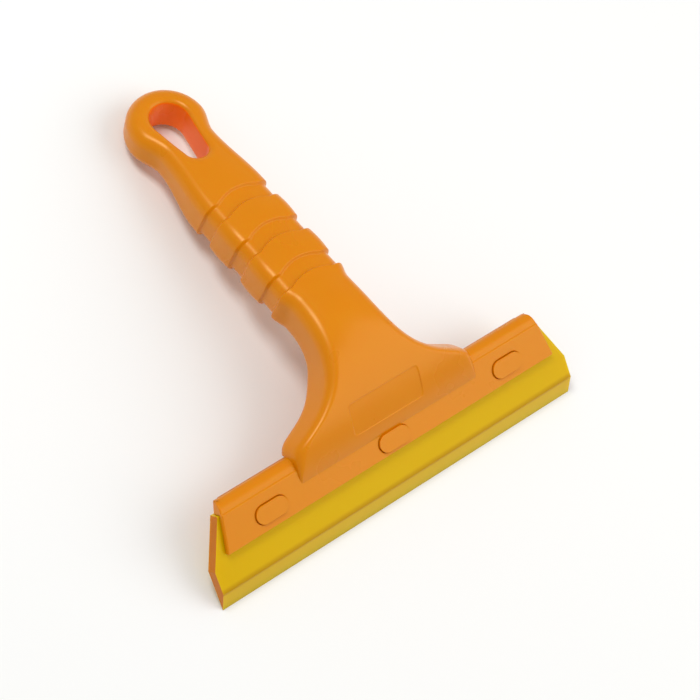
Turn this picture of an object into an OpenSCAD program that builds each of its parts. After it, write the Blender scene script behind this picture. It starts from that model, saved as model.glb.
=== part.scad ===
// Hand squeegee for windows: a moulded handle with a broad front jaw, a beveled polyurethane
// blade, and a rear clamp bar whose three studs pass through the blade into the front jaw.
//
// Row frame: X runs along the blade, Y from the wiping edge to the hanging eye, Z up.
// The tool lies face up like a low arch, on its wiping edge and on the back of the eye.
//
// Blade frame: X the same, Y up the blade from the wiping edge, Z out of its front face,
// with the blade's front face at Z = 0. Handle frame: Y along the grip, Z = 0 on its front.

/* [Blade] */
// Length of the wiping edge
blade_w = 150; // [110:1:300]
// Height from the wiping edge to the clamped edge
blade_h = 29.6; // [27:0.5:45]
// Thickness of the blade
blade_t = 4; // [2.5:0.1:6]
// Height of the bevel that makes the wiping edge
bevel_h = 6.2; // [3:0.1:9]
// Height at which the square ends begin to lean in
square_end_h = 14; // [10:0.5:16]
// Lean of the upper ends, in degrees
end_lean = 25; // [0:1:32]

/* [Holder] */
// How far the blade stands out below the jaws
blade_reach = 17.5; // [12:0.5:18]
// Width of the jaws along their lower edge
jaw_w = 139; // [100:1:290]
// Lean of the jaws' ends, in degrees
jaw_lean = 11; // [0:1:20]
// Wall of the front jaw
jaw_wall = 1.8; // [1.2:0.1:3.5]
// Wall of the rear clamp bar
clamp_wall = 2.2; // [1.5:0.1:4]
// Wall of the rounded cap over the clamped edge
cap_wall = 4.2; // [2:0.1:5]
// Radius of the holder's top corners, seen from the front
holder_corner_r = 1; // [0.5:0.5:8]
// How much shorter the clamp bar is than the front jaw, at each end
clamp_inset = 3.5; // [0:0.1:6]
// Clearance between the clamp bar and what it closes on
clamp_gap = 0.1; // [0.05:0.05:0.3]

/* [Lock studs] */
// Length of a stud along the blade
stud_l = 12.2; // [8:0.1:16]
// Width of a stud
stud_w = 6.1; // [4:0.1:8]
// Distance from the centre stud to each outer stud
stud_pitch = 50.2; // [35:0.1:125]
// Height of the outer studs' centres above the jaw's lower edge
stud_rise = 5.5; // [3.5:0.1:8]
// How much lower the centre stud sits
centre_stud_drop = 1.2; // [0:0.1:2]
// How far the studs stand proud of the front jaw
stud_proud = 0.6; // [0.2:0.1:1.5]
// Wall round the hollow behind each stud
stud_wall = 1.7; // [1.2:0.1:1.9]
// Clearance round each stud
stud_gap = 0.1; // [0.05:0.05:0.3]

/* [Flare] */
// Half of the width of the flare over the holder
flare_half_w = 37.4; // [24:0.1:60]
// Height of the flare's foot above the jaw's lower edge
foot_rise = 7.4; // [6:0.1:9]
// Angle at which the flare's face rises from the jaw, in degrees
flare_rise = 25; // [15:0.5:30]
// Length of the flare's straight shoulders, from its foot
shoulder_l = 12; // [11:0.1:16]
// Distance over which the flare narrows to the neck
flare_fade = 9.8; // [6:0.1:16]
// Length over which the shoulders round into the fade
shoulder_blend = 1.4; // [0.5:0.1:3]
// Depth of the flare behind the holder
flare_t = 11; // [8.5:0.1:14]
// Length over which the flare deepens to the grip's thickness
deepen_l = 18; // [10:0.5:36]
// Radius of the flare's long edges
flare_edge_r = 3.3; // [0.5:0.1:4]
// Width of the label panel
label_w = 29; // [16:0.5:40]
// Height of the label panel
label_h = 11.5; // [6:0.5:13]
// Height of the label panel's centre above the flare's foot
label_rise = 11.4; // [9:0.1:13]
// Depth of the label panel's flat floor at its upper and lower edges
label_depth = 0.3; // [0.2:0.1:0.6]

/* [Handle] */
// Angle between the grip and the blade, in degrees
bend = 44.7; // [20:0.1:50]
// Radius of the arch that the flare and the neck make, along the front
arch_r = 42.3; // [36:0.1:55]
// Length from the flare's foot to the tip of the eye, along the front
handle_l = 147.7; // [140:0.1:210]
// Width of the neck
neck_w = 23.2; // [20:0.1:34]
// Width of the grip
grip_w = 26.4; // [22:0.1:36]
// Thickness of the grip
grip_t = 17.5; // [15:0.1:24]
// Crown of the grip's front face
crown = 0.7; // [0:0.1:1.5]
// Radius of the grip's front edges
grip_front_r = 4.8; // [2:0.1:7]
// Radius of the grip's back edges
grip_back_r = 4; // [2:0.1:5]
// Length over which the neck widens to the grip
grip_blend = 6; // [3:0.5:8]
// Number of grip grooves
groove_count = 3; // [1:1:4]
// Distance from one groove to the next
groove_pitch = 16; // [12:0.1:18]
// Width of a groove
groove_w = 6.8; // [4:0.1:9]
// Depth of a groove
groove_depth = 0.9; // [0.4:0.1:1.2]
// Distance from the eye's centre to the first groove
groove_start = 34.3; // [28:0.1:45]
// Length of the grip's straight back above the first groove
straight_back = 3; // [2:0.1:12]

/* [Hanging eye] */
// Outer radius of the eye
eye_r = 14.1; // [11.5:0.1:20]
// Thickness of the eye
eye_t = 14.2; // [12:0.1:20]
// Radius of the eye's outer edge
eye_edge_r = 4.6; // [3:0.1:6]
// Width of the waist below the eye
waist_w = 22.2; // [18:0.1:30]
// Distance from the eye's centre to the waist
waist_l = 10.5; // [8:0.1:16]
// Radius of the hole's wide end
hole_r = 6.9; // [5:0.1:9]
// Radius of the hole's narrow end
hole_narrow_r = 4.4; // [3:0.1:5]
// Distance between the hole's two ends
hole_l = 13.8; // [8:0.1:20]

/* [Back cover] */
// Width of the cover
cover_w = 19; // [14:0.1:19.5]
// Length of the cover
cover_l = 50; // [44:0.5:60]
// Thickness of the cover
cover_t = 2.2; // [1.6:0.1:3]
// Clearance round the cover
cover_gap = 0.12; // [0.05:0.01:0.3]
// Width of the ledge that the cover sits on
ledge_w = 1.3; // [0.8:0.1:2]
// Wall left in front of the hollow
front_wall = 3; // [2:0.1:5]
// Thickness of the ribs
rib_t = 1.6; // [1:0.1:2.5]
// Number of hollows along the grip
cell_count = 5; // [3:1:8]
// Radius of the cover's pegs
peg_r = 2; // [1.5:0.1:2.4]
// Length of the cover's pegs below the cover
peg_l = 5; // [3:0.1:7]
// Radial clearance of the pegs
peg_gap = 0.05; // [0.02:0.01:0.1]
// Wall of the bosses that take the pegs
boss_wall = 1.6; // [1.2:0.1:2.5]

/* [Hidden] */
$fn = 64;
cut = 1;
far = 80;

orange = [0.87, 0.51, 0.09];
deep_orange = [0.80, 0.43, 0.07];
amber_yellow = [0.84, 0.70, 0.05];

// Holder: a stadium profile over the blade's clamped edge.
holder_t = jaw_wall + blade_t + clamp_gap + clamp_wall;
roll_r = holder_t / 2;
roll_n = jaw_wall - roll_r;
blade_top = blade_h + clamp_gap;
cap_top = blade_h + clamp_gap + cap_wall;
roll_s = cap_top - roll_r;
holder_h = cap_top - blade_reach;
seam_n = -0.75 * blade_t;
clamp_face_n = -blade_t - clamp_gap;
clamp_back_n = jaw_wall - holder_t;
neck_clear_s = cap_top + 2 * clamp_gap;
corner_flat = 1.5;

// Lock studs.
stud_s = blade_reach + stud_rise;
stud_places = [[-stud_pitch, stud_s], [0, stud_s - centre_stud_drop], [stud_pitch, stud_s]];

// Front line of the arch and the grip, in the blade frame's Y-Z plane.
foot_s = blade_reach + foot_rise;
grip_start = arch_r * (flare_rise + bend) * PI / 180;
arch_centre = [foot_s, jaw_wall] + arch_r * [sin(flare_rise), -cos(flare_rise)];
grip_origin = arch_centre + arch_r * [sin(bend), cos(bend)];

// Places along the handle, measured from the flare's foot.
eye_l = handle_l - eye_r;
waist_at = eye_l - waist_l;
first_groove = eye_l - groove_start;
groove_starts = [for (i = [0:groove_count - 1]) first_groove - i * groove_pitch - groove_w];
groove_ramp = 0.5;
back_rise = first_groove + straight_back;
grip_low = first_groove - (groove_count - 1) * groove_pitch - groove_w;
edge_l = handle_l - eye_edge_r;

// Rest: the table touches the wiping edge and the back of the eye's rounded end.
edge_centre = grip_origin
    + (edge_l - grip_start) * [cos(bend), -sin(bend)]
    + (eye_edge_r - eye_t) * [sin(bend), cos(bend)];
to_eye = edge_centre - [0, -blade_t];
rest_angle = asin(eye_edge_r / norm(to_eye)) - atan2(to_eye[1], to_eye[0]);
rest_z = blade_t * cos(rest_angle);
front_edge_centre = edge_centre + (eye_t - 2 * eye_edge_r) * [sin(bend), cos(bend)];
tip_y = front_edge_centre[0] * cos(rest_angle) - front_edge_centre[1] * sin(rest_angle) + eye_edge_r;
low_y = blade_t * sin(rest_angle);
rest_y = -(low_y + tip_y) / 2;

// Cover and hollow, along the grip from its start.
cover_high = back_rise - grip_start;
cover_mid = cover_high - cover_l / 2;
cover_floor = -grip_t + cover_t;
hollow_w = cover_w - 2 * ledge_w;
hollow_l = cover_l - 2 * ledge_w;
cell_pitch = (hollow_l + rib_t) / cell_count;
peg_places = [cover_mid - (cell_count / 2 - 1) * cell_pitch, cover_mid + (cell_count / 2 - 1) * cell_pitch];

// Smooth step from a to b as t goes from t0 to t1, level at both ends.
function ease(t, t0, t1, a, b) =
    t <= t0 ? a : t >= t1 ? b : a + (b - a) * (1 - cos(180 * (t - t0) / (t1 - t0))) / 2;

// Point of the front line at length l from the flare's foot.
function front_at(l) =
    l >= grip_start ? grip_origin + (l - grip_start) * [cos(bend), -sin(bend)]
    : arch_centre + arch_r * [-sin(slope_at(l)), cos(slope_at(l))];

// Slope of the front line at l, in degrees.
function slope_at(l) = l >= grip_start ? -bend : flare_rise - l / arch_r * 180 / PI;

// Depth of the grooves at l: level floors between short ramps.
function groove_at(l) =
    groove_depth * max([for (g = groove_starts)
        max(0, min(1, (l - g) / groove_ramp, (g + groove_w - l) / groove_ramp))]);

// Half width of the handle at l.
function past_shoulder(l) = shoulder_blend * ln(1 + exp((l - shoulder_l) / shoulder_blend));
function flare_half(l) =
    neck_w / 2 + (flare_half_w - neck_w / 2) * exp(-past_shoulder(l) / flare_fade);
function half_at(l) =
    l >= eye_l ? sqrt(max(0.01, eye_r * eye_r - (l - eye_l) * (l - eye_l)))
    : l >= waist_at ? ease(l, waist_at, eye_l, waist_w / 2, eye_r)
    : l >= first_groove ? ease(l, first_groove, waist_at, grip_w / 2, waist_w / 2)
    : flare_half(l) + ease(l, grip_low - grip_blend, grip_low, 0, (grip_w - neck_w) / 2);

// How far the rounded end has drawn in from the front and from the back at l.
function end_draw(l) =
    l <= edge_l ? 0
    : eye_edge_r - sqrt(max(0, eye_edge_r * eye_edge_r - (l - edge_l) * (l - edge_l)));

// Thickness at l, before grooves.
function thick_at(l) =
    l < grip_low ? ease(l, shoulder_l, shoulder_l + deepen_l, flare_t, grip_t)
    : ease(l, back_rise, waist_at, grip_t, eye_t);

// Corner radii at l, front and back.
function front_r(l) =
    ease(l, first_groove, eye_l, ease(l, 0, grip_start, flare_edge_r, grip_front_r), eye_edge_r);
function back_r(l) =
    ease(l, back_rise, eye_l, ease(l, 0, grip_start, flare_edge_r, grip_back_r), eye_edge_r);

// One quarter of a rounded corner about c, from angle a0, in n steps.
function corner(c, r, a0, n) = [for (i = [0:n]) c + r * [cos(a0 + 90 * i / n), sin(a0 + 90 * i / n)]];

// Section across the handle at l, as [x, depth] points anticlockwise from the right side.
corner_steps = 6;
face_steps = 4;
slimmest = 0.98;
function section(l) =
    let (
        g = groove_at(l),
        w = half_at(l) - g,
        top = -end_draw(l) - g,
        low = -thick_at(l) + end_draw(l) + g,
        rf = min(front_r(l), w * slimmest, (top - low) / 2),
        rb = min(back_r(l), w * slimmest, (top - low) / 2),
        bulge = ease(l, shoulder_l, grip_start, 0, crown) * min(1, w / grip_w * 2),
        shoulder = top - bulge
    )
    concat(
        corner([w - rf, shoulder - rf], rf, 0, corner_steps),
        [for (i = [1:face_steps - 1]) let (k = 1 - 2 * i / face_steps)
            [(w - rf) * k, top - bulge * k * k]],
        corner([-w + rf, shoulder - rf], rf, 90, corner_steps),
        corner([-w + rb, low + rb], rb, 180, corner_steps),
        corner([w - rb, low + rb], rb, 270, corner_steps)
    );

// Stations along the handle: even ones, both sides of each groove's walls, and a rounded end.
groove_edges = [for (i = [groove_count - 1:-1:0]) let (g = groove_starts[i])
    each [g, g + groove_ramp, g + groove_w - groove_ramp, g + groove_w]];
stations = concat(
    [for (i = [0:7]) shoulder_l * i / 7],
    [for (i = [1:11]) shoulder_l + (grip_low - 1 - shoulder_l) * pow(i / 11, 1.3)],
    groove_edges,
    [for (i = [1:5]) first_groove + (waist_at - first_groove) * i / 5],
    [for (i = [1:4]) waist_at + (eye_l - waist_at) * i / 4],
    [for (i = [1:3]) eye_l + (edge_l - eye_l) * i / 3],
    [for (i = [1:6]) edge_l + eye_edge_r * sin(88 * i / 6)]
);

// A section's points in the blade frame.
function placed(l) =
    let (f = front_at(l), a = slope_at(l))
    [for (p = section(l)) [p[0], f[0] - p[1] * sin(a), f[1] + p[1] * cos(a)]];

// A solid skinned over rings of equal count, with flat ends.
module skin(rings) {
    n = len(rings[0]);
    m = len(rings);
    points = [for (r = rings) each r];
    sides = [for (i = [0:m - 2], j = [0:n - 1]) let (k = (j + 1) % n)
        each [[i * n + j, i * n + k, (i + 1) * n + k], [i * n + j, (i + 1) * n + k, (i + 1) * n + j]]];
    ends = [[for (j = [n - 1:-1:0]) j], [for (j = [0:n - 1]) (m - 1) * n + j]];
    polyhedron(points = points, faces = concat(sides, ends), convexity = 6);
}

// Moves the blade frame to the row frame.
module in_row_frame() {
    translate([0, rest_y, rest_z]) rotate([rest_angle, 0, 0]) children();
}

// Moves the handle frame to the blade frame.
module in_handle_frame() {
    translate([0, grip_origin[0], grip_origin[1]]) rotate([-bend, 0, 0]) children();
}

// Obround bar along X, centred, from z0 to z1.
module obround(l, w, z0, z1) {
    translate([0, 0, z0]) linear_extrude(z1 - z0) {
        square([l - w, w], center = true);
        for (side = [-1, 1]) translate([side * (l - w) / 2, 0]) circle(d = w);
    }
}

// Rounded rectangle, centred.
module rounded_square(w, l, r) {
    square([w - 2 * r, l], center = true);
    square([w, l - 2 * r], center = true);
    for (x = [-1, 1], y = [-1, 1]) translate([x * (w / 2 - r), y * (l / 2 - r)]) circle(r);
}

// Outline of the holder from the front: ends that lean in, and rounded top corners.
module holder_outline(low_w) {
    r = holder_corner_r;
    corner_s = cap_top - r;
    corner_x = low_w / 2 - (corner_s - blade_reach) * tan(jaw_lean) - r / cos(jaw_lean);
    polygon([
        [-low_w / 2, blade_reach],
        [low_w / 2, blade_reach],
        [corner_x + r * cos(jaw_lean), corner_s + r * sin(jaw_lean)],
        [corner_x, cap_top],
        [-corner_x, cap_top],
        [-corner_x - r * cos(jaw_lean), corner_s + r * sin(jaw_lean)]
    ]);
    for (side = [-1, 1]) translate([side * corner_x, corner_s]) circle(r);
}

// Bar along X with the holder's rounded profile.
module holder_roll() {
    translate([-far, roll_s, roll_n]) rotate([0, 90, 0]) cylinder(r = roll_r, h = 2 * far);
    translate([-far, blade_reach, clamp_back_n]) cube([2 * far, roll_s - blade_reach, holder_t]);
}

// The whole holder, front jaw and clamp bar together, at one width along its lower edge.
module holder(low_w) {
    intersection() {
        holder_roll();
        translate([0, 0, clamp_back_n - cut]) linear_extrude(holder_t + 2 * cut) holder_outline(low_w);
    }
}

// Box across the whole width, from s0 to s1 up the blade and n0 to n1 out of it.
module across(s0, s1, n0, n1) {
    translate([-far, s0, n0]) cube([2 * far, s1 - s0, n1 - n0]);
}

// Openings that the studs pass through.
module stud_windows(z0, z1) {
    for (p = stud_places) translate([p[0], p[1], 0])
        obround(stud_l + 2 * stud_gap, stud_w + 2 * stud_gap, z0, z1);
}

// Tapered hanging hole, in the handle frame.
module hanging_hole() {
    lean = asin((hole_r - hole_narrow_r) / hole_l);
    wide_at = eye_l - grip_start;
    translate([0, wide_at, -eye_t - 2 * cut]) linear_extrude(eye_t + 4 * cut) {
        circle(hole_r);
        translate([0, -hole_l]) circle(hole_narrow_r);
        polygon([
            [hole_r * cos(lean), hole_r * sin(lean)],
            [-hole_r * cos(lean), hole_r * sin(lean)],
            [-hole_narrow_r * cos(lean), -hole_l + hole_narrow_r * sin(lean)],
            [hole_narrow_r * cos(lean), -hole_l + hole_narrow_r * sin(lean)]
        ]);
    }
}

// Seat of the back cover, in the handle frame.
module cover_seat() {
    seat_w = cover_w + 2 * cover_gap;
    seat_l = cover_l + 2 * cover_gap;
    translate([0, cover_mid, -grip_t - cut]) linear_extrude(cover_t + cut)
        rounded_square(seat_w, seat_l, seat_w / 2 - corner_flat);
}

// Hollow of the grip, less its ribs and the bosses for the cover's pegs.
module hollow() {
    depth = grip_t - cover_t - front_wall;
    boss_r = peg_r + peg_gap + boss_wall;
    difference() {
        translate([0, cover_mid, cover_floor - cut]) linear_extrude(depth + cut)
            rounded_square(hollow_w, hollow_l, hollow_w / 2 - corner_flat);
        translate([-rib_t / 2, cover_mid - cover_l, cover_floor]) cube([rib_t, 2 * cover_l, depth + cut]);
        for (i = [1:cell_count - 1])
            translate([-cover_w, cover_mid - hollow_l / 2 + i * cell_pitch - rib_t, cover_floor])
                cube([2 * cover_w, rib_t, depth + cut]);
        for (y = peg_places) translate([0, y - rib_t / 2, cover_floor])
            cylinder(r = boss_r, h = depth + cut);
    }
    for (y = peg_places) translate([0, y - rib_t / 2, cover_floor - cut])
        cylinder(r = peg_r + peg_gap, h = peg_l + 2 * cut);
}

// Shallow panel on the flare's face, with a flat floor under the arch, in the blade frame.
module label_panel() {
    f = front_at(label_rise);
    arch_over = arch_r - sqrt(arch_r * arch_r - label_h * label_h / 4);
    translate([0, f[0], f[1]]) rotate([slope_at(label_rise), 0, 0])
        translate([0, 0, -arch_over - label_depth]) linear_extrude(arch_over + label_depth + cut)
            rounded_square(label_w, label_h, corner_flat);
}

module handle_body() {
    color(orange) in_row_frame() difference() {
        union() {
            skin([for (l = stations) placed(l)]);
            intersection() {
                holder(jaw_w);
                across(blade_reach - cut, cap_top + cut, seam_n, jaw_wall + cut);
            }
        }
        across(-cut, blade_top, -far, 0);
        across(-cut, neck_clear_s, -far, seam_n);
        stud_windows(-cut, jaw_wall + 2 * cut);
        label_panel();
        in_handle_frame() {
            hanging_hole();
            cover_seat();
            hollow();
        }
    }
}

module handle_back_cover() {
    color(deep_orange) in_row_frame() in_handle_frame() {
        difference() {
            translate([0, cover_mid, -grip_t]) linear_extrude(cover_t)
                rounded_square(cover_w, cover_l, cover_w / 2 - corner_flat);
            for (g = groove_starts)
                translate([-cover_w, g - grip_start, -grip_t - cut])
                    cube([2 * cover_w, groove_w, groove_depth + cut]);
        }
        for (y = peg_places) translate([0, y - rib_t / 2, cover_floor - cut / 2])
            cylinder(r = peg_r, h = peg_l + cut / 2);
    }
}

module squeegee_blade() {
    top_half = blade_w / 2 - (blade_h - square_end_h) * tan(end_lean);
    color(amber_yellow) in_row_frame() difference() {
        translate([0, 0, -blade_t]) linear_extrude(blade_t) polygon([
            [-blade_w / 2, 0],
            [blade_w / 2, 0],
            [blade_w / 2, square_end_h],
            [top_half, blade_h],
            [-top_half, blade_h],
            [-blade_w / 2, square_end_h]
        ]);
        rotate([90, 0, 90]) translate([0, 0, -far - blade_w / 2]) linear_extrude(2 * far + blade_w)
            polygon([[0, -blade_t], [bevel_h, 0], [bevel_h, cut], [-cut, cut], [-cut, -blade_t]]);
        stud_windows(-blade_t - cut, cut);
    }
}

module rear_clamp_bar() {
    color(deep_orange) in_row_frame() difference() {
        union() {
            intersection() {
                holder(jaw_w - 2 * clamp_inset);
                union() {
                    across(blade_reach - cut, cap_top + cut, clamp_back_n - cut, clamp_face_n);
                    across(blade_top, cap_top + cut, clamp_back_n - cut, seam_n - clamp_gap);
                }
            }
            for (p = stud_places) translate([p[0], p[1], 0])
                obround(stud_l, stud_w, clamp_face_n - cut, jaw_wall + stud_proud);
        }
        for (p = stud_places) translate([p[0], p[1], 0])
            obround(stud_l - 2 * stud_wall, stud_w - 2 * stud_wall, clamp_back_n - cut,
                jaw_wall + stud_proud - stud_wall);
    }
}

handle_body();
handle_back_cover();
squeegee_blade();
rear_clamp_bar();
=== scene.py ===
"""Window squeegee: a moulded handle with a hanging eye, a translucent blade and a rear clamp bar,
on a pale floor."""
import math
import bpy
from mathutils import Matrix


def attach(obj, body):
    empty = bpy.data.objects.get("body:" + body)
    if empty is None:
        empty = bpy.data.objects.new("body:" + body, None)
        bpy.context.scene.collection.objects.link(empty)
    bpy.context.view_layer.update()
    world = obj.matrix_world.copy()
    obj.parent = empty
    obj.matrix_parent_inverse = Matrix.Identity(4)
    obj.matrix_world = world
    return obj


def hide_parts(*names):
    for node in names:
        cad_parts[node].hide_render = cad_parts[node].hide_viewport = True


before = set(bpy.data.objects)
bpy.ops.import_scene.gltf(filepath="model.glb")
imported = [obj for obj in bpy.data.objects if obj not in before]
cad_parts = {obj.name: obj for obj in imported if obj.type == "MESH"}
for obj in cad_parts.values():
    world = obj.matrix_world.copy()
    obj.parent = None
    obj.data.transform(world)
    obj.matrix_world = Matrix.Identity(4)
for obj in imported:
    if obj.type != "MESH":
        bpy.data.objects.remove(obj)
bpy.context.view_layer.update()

from types import SimpleNamespace

import bmesh
import bpy
import numpy as np
from bpy.props import FloatProperty, FloatVectorProperty, IntProperty, PointerProperty
from mathutils import Matrix, Vector

bl_info = {
    "name": "Window squeegee",
    "version": (1, 0, 0),
    "blender": (4, 5, 0),
    "location": "View3D > Sidebar > Squeegee",
    "description": "Builds a one-hand window squeegee around its packed parts",
    "category": "Add Mesh",
}

MM = 0.001

# How finely the surfaces are drawn. Lengths are in mm.
FAR = 80.0  # half width of a block that cuts right across the tool
STATION_STEP = 1.0  # distance between rings along the handle
CLOSEST = 0.02  # rings closer than this are dropped
MERGE = 0.004  # points closer than this become one
ARC_POINTS = 11  # points round a quarter turn of an edge
SIDE_SHARES = np.linspace(0, 1, 5)  # places down a side, from its front edge to its back edge
# Distances of points from the middle of a half width, tight where the label panel's side edge runs.
LABEL_OFFSETS = np.array([0.4, 0.3, 0.2, 0.12, 0.07, 0.04, 0.022, 0.012, 0.004])
# Distances of rings from a step in the surface, as shares of their spread.
STEP_OFFSETS = np.array([-1, -0.6, -0.36, -0.2, -0.08, 0.08, 0.2, 0.36, 0.6, 1])
STEP_SPREAD = 0.7
LABEL_STEP = 0.16  # half of the width of the soft step round the label panel
FOOT_SINK = 0.9  # how far the flare runs on below its foot, into the jaw
COVER_EDGE_R = 0.3  # radius of the back cover's outer edges


# ---------------------------------------------------------------- sizes and colours

def length(name, description, millimetres):
    """A size given in millimetres and kept in metres."""
    return FloatProperty(name=name, description=description, default=millimetres * MM, min=0.0,
                         precision=5, subtype="DISTANCE", unit="LENGTH")


def angle(name, description, degrees):
    """An angle given in degrees and kept in radians."""
    return FloatProperty(name=name, description=description, default=math.radians(degrees),
                         subtype="ANGLE", unit="ROTATION")


def place(name, description, metres):
    """A place in the scene, in metres."""
    return FloatVectorProperty(name=name, description=description, default=metres,
                               precision=5, subtype="TRANSLATION", unit="LENGTH")


def linear(hex_colour):
    """sRGB hex to linear RGBA: (c / 12.92) below 0.04045, else ((c + 0.055) / 1.055) to the power 2.4."""
    c = [int(hex_colour[i:i + 2], 16) / 255 for i in (1, 3, 5)]
    return (*(v / 12.92 if v <= 0.04045 else ((v + 0.055) / 1.055) ** 2.4 for v in c), 1.0)


def colour(name, description, hex_colour):
    """A colour given as sRGB hex and kept as linear RGBA."""
    return FloatVectorProperty(name=name, description=description, default=linear(hex_colour), size=4,
                               min=0.0, max=1.0, subtype="COLOR")


class BladeSizes(bpy.types.PropertyGroup):
    blade_w: length("Length", "Length of the wiping edge", 150)
    blade_h: length("Height", "Height from the wiping edge to the clamped edge", 29.6)
    blade_t: length("Thickness", "Thickness of the blade", 4)
    bevel_h: length("Bevel", "Height of the bevel that makes the wiping edge", 6.2)
    square_end_h: length("Square end", "Height at which the square ends begin to lean in", 14)
    end_lean: angle("End lean", "Lean of the upper ends", 25)
    blade_edge_r: length("Edge radius", "Radius of the cut edges", 0.12)


class HolderSizes(bpy.types.PropertyGroup):
    blade_reach: length("Blade reach", "How far the blade stands out below the jaws", 17.5)
    jaw_w: length("Width", "Width of the jaws along their lower edge", 139)
    jaw_lean: angle("Lean", "Lean of the jaws' ends", 11)
    jaw_wall: length("Front wall", "Wall of the front jaw", 1.8)
    clamp_wall: length("Rear wall", "Wall of the rear clamp bar", 2.2)
    cap_wall: length("Cap wall", "Wall of the rounded cap over the clamped edge", 4.2)
    holder_corner_r: length("Corner radius", "Radius of the holder's top corners", 1)
    clamp_inset: length("Clamp inset", "How much shorter the clamp bar is than the jaw, at each end", 3.5)
    clamp_gap: length("Clamp gap", "Clearance between the clamp bar and what it closes on", 0.1)
    crease: length("Crease", "Step down from the front jaw to the cap, which leaves a crease", 0.35)
    holder_edge_r: length("Edge radius", "Radius of the moulded edges", 0.45)


class StudSizes(bpy.types.PropertyGroup):
    stud_l: length("Length", "Length of a lock stud along the blade", 12.2)
    stud_w: length("Width", "Width of a lock stud", 6.1)
    stud_pitch: length("Pitch", "Distance from the centre stud to each outer stud", 50.2)
    stud_rise: length("Rise", "Height of the outer studs above the jaw's lower edge", 5.5)
    centre_stud_drop: length("Centre drop", "How much lower the centre stud sits", 1.2)
    stud_proud: length("Proud", "How far the studs stand proud of the front jaw", 0.6)
    stud_gap: length("Gap", "Gap round each stud", 0.09)
    stud_wall: length("Wall", "Wall round the hollow behind each stud", 1.7)


class FlareSizes(bpy.types.PropertyGroup):
    flare_half_w: length("Half width", "Half of the width of the flare over the holder", 37.4)
    foot_rise: length("Foot", "Height of the flare's foot above the jaw's lower edge", 7.4)
    flare_rise: angle("Rise", "Angle at which the flare's face rises from the jaw", 25)
    shoulder_l: length("Shoulder", "Length of the flare's straight shoulders", 12)
    flare_fade: length("Fade", "Distance over which the flare narrows to the neck", 9.8)
    shoulder_blend: length("Shoulder blend", "Length over which the shoulders round into the fade", 1.4)
    deepen_l: length("Deepening", "Length over which the flare deepens to the grip's thickness", 18)
    flare_t: length("Depth", "Depth of the flare behind the holder", 11)
    flare_edge_r: length("Edge radius", "Radius of the flare's long edges", 3.3)
    foot_edge_r: length("Foot edge radius", "Radius of the front edges at the foot", 0.7)
    foot_corner_l: length("Foot corner", "Length over which the foot's edges round out to the flare's", 11)
    label_w: length("Label width", "Width of the label panel", 29)
    label_h: length("Label height", "Height of the label panel", 11.5)
    label_rise: length("Label place", "Height of the label panel's centre above the foot", 11.4)
    label_depth: length("Label depth", "Depth of the label panel at its edges", 0.15)
    label_corner_r: length("Label corners", "Radius of the label panel's corners", 1.5)
    label_flatness: FloatProperty(
        name="Label flatness", description="1 for a flat panel, 0 for one that follows the arch",
        default=0.45, min=0.0, max=1.0)


class GripSizes(bpy.types.PropertyGroup):
    bend: angle("Bend", "Angle between the grip and the blade", 44.7)
    arch_r: length("Arch radius", "Radius of the arch along the front of the flare and neck", 42.3)
    handle_l: length("Length", "Length from the flare's foot to the tip of the eye", 147.7)
    neck_w: length("Neck width", "Width of the neck", 23.2)
    grip_w: length("Width", "Width of the grip", 26.4)
    grip_t: length("Thickness", "Thickness of the grip", 17.5)
    crown: length("Crown", "Crown of the grip's front face", 0.7)
    grip_front_r: length("Front edges", "Radius of the grip's front edges", 4.8)
    grip_back_r: length("Back edges", "Radius of the grip's back edges", 4)
    skin: length("Skin", "How far the surface is drawn in, to stay inside the moulding's limits", 0.08)
    grip_blend: length("Blend", "Length over which the neck widens to the grip", 6)
    groove_count: IntProperty(name="Grooves", description="Number of grip grooves", default=3, min=1, max=4)
    groove_pitch: length("Groove pitch", "Distance from one groove to the next", 16)
    groove_w: length("Groove width", "Width of a groove", 6.8)
    groove_depth: length("Groove depth", "Depth of a groove", 0.9)
    groove_start: length("Groove start", "Distance from the eye's centre to the first groove", 34.3)
    groove_bow: length("Groove bow", "How far each groove bows towards the eye on the front", 1.9)
    groove_ramp: length("Groove wall", "Length of the rounded step at each side of a groove", 0.9)
    band_swell: length("Band swell", "How far the bands between the grooves swell", 0.2)
    straight_back: length("Straight back", "Length of the straight back above the first groove", 3)


class EyeSizes(bpy.types.PropertyGroup):
    eye_r: length("Radius", "Outer radius of the hanging eye", 14.1)
    eye_t: length("Thickness", "Thickness of the eye", 14.2)
    eye_edge_r: length("Edge radius", "Radius of the eye's outer edge", 4.6)
    waist_w: length("Waist width", "Width of the waist below the eye", 22.2)
    waist_l: length("Waist place", "Distance from the eye's centre to the waist", 10.5)
    hole_r: length("Hole radius", "Radius of the hole's wide end", 6.9)
    hole_narrow_r: length("Hole narrow radius", "Radius of the hole's narrow end", 4.4)
    hole_l: length("Hole length", "Distance between the hole's two ends", 13.8)
    lip_w: length("Lip width", "Width of the rounded lip round the hole", 2.6)
    lip_h: length("Lip height", "Drop of the rounded lip into the hole", 1.9)
    eye_join: length("Join", "Length of the eye's own surface below the hole's narrow end", 7.7)


class CoverSizes(bpy.types.PropertyGroup):
    cover_w: length("Width", "Width of the back cover", 19)
    cover_l: length("Length", "Length of the back cover", 50)
    cover_t: length("Thickness", "Thickness of the back cover", 2.2)
    cover_gap: length("Gap", "Gap round the back cover", 0.16)
    cover_corner_flat: length("End flat", "Half of the flat at each end of the cover", 1.5)


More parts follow.
